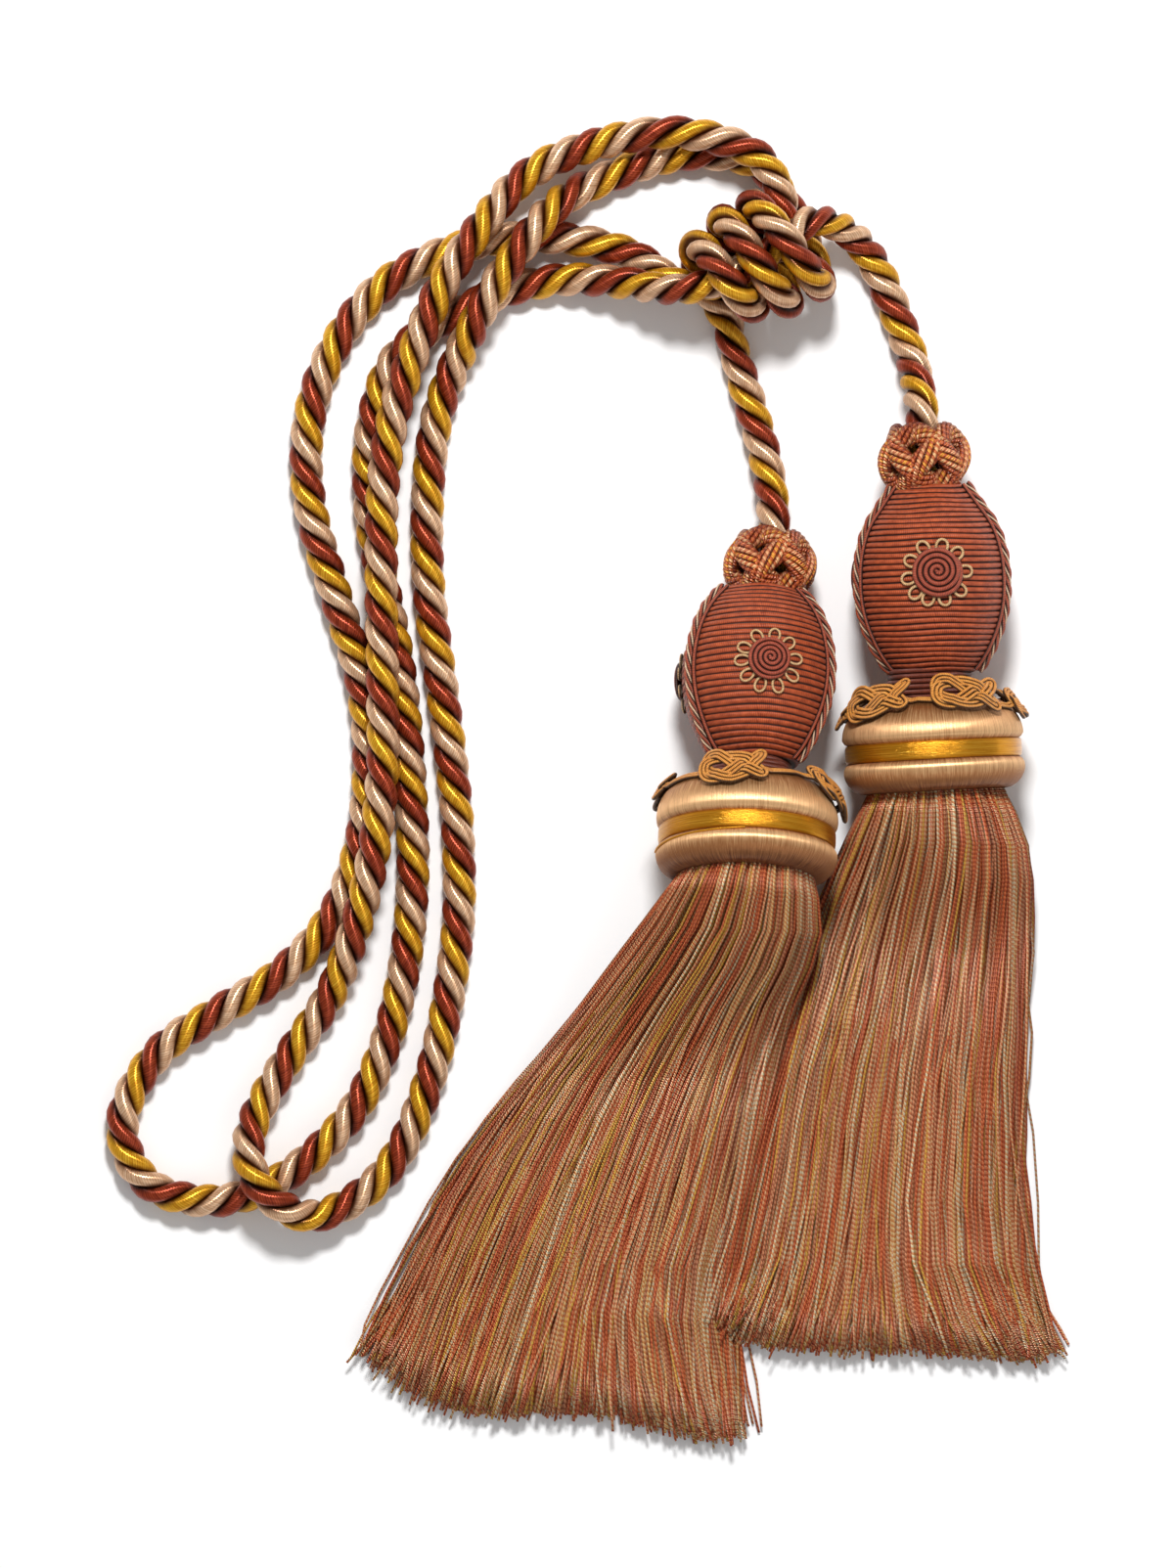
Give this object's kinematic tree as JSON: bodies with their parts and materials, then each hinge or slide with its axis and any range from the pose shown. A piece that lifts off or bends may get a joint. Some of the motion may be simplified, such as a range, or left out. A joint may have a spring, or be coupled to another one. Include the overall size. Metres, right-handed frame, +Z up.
{
  "type": "curtain tieback",
  "caption": "Curtain tieback: a twisted rope with a wrapped knot and two hanging loops, and a key tassel with ribbed ball, satin bun and fringed skirt at each end.",
  "frame": {"origin": "bottom centre of the box round the two tassels without the rope, on the table they lie on", "axes": "+Z up from the table, +Y from the skirts towards the tassels' heads, +X to the right with the skirts nearest the viewer"},
  "size_m": [0.3032, 0.4335, 0.0717],
  "materials": {
    "rope": "three twisted viscose strands in rust, gold and cream-beige, glossy",
    "ruff": "bundled rust, peach and gold yarns, silky",
    "gimp": "closely wound rust gimp cord, semi-matt",
    "seam_cord": "two-colour twisted cord, rust and cream",
    "petal": "cream gimp loops",
    "neck": "dark rust floss, matt",
    "satin": "beige satin floss laid over the mould, glossy",
    "gold_band": "gold floss, glossy",
    "galloon": "ochre gimp cord",
    "skirt": "mixed rust, peach, gold, mauve-brown, tan and cream yarns"
  },
  "bodies": {
    "root": {"rope": "rope", "ball_left": "gimp", "bun_left": "satin", "band_left": "gold_band", "neck_left": "neck", "galloon_left": "galloon", "ruff_left": "ruff", "skirt_left": "skirt", "button_1_left": "gimp", "petals_1_left": "petal", "seam_gimp_a_1_left": "gimp", "seam_cord_1_left": "seam_cord", "seam_gimp_b_1_left": "gimp", "button_2_left": "gimp", "petals_2_left": "petal", "seam_gimp_a_2_left": "gimp", "seam_cord_2_left": "seam_cord", "seam_gimp_b_2_left": "gimp", "button_3_left": "gimp", "petals_3_left": "petal", "seam_gimp_a_3_left": "gimp", "seam_cord_3_left": "seam_cord", "seam_gimp_b_3_left": "gimp", "ball_right": "gimp", "bun_right": "satin", "band_right": "gold_band", "neck_right": "neck", "galloon_right": "galloon", "ruff_right": "ruff", "skirt_right": "skirt", "button_1_right": "gimp", "petals_1_right": "petal", "seam_gimp_a_1_right": "gimp", "seam_cord_1_right": "seam_cord", "seam_gimp_b_1_right": "gimp", "button_2_right": "gimp", "petals_2_right": "petal", "seam_gimp_a_2_right": "gimp", "seam_cord_2_right": "seam_cord", "seam_gimp_b_2_right": "gimp", "button_3_right": "gimp", "petals_3_right": "petal", "seam_gimp_a_3_right": "gimp", "seam_cord_3_right": "seam_cord", "seam_gimp_b_3_right": "gimp", "loose_thread_left": "gold_band"}
  },
  "joints": []
}
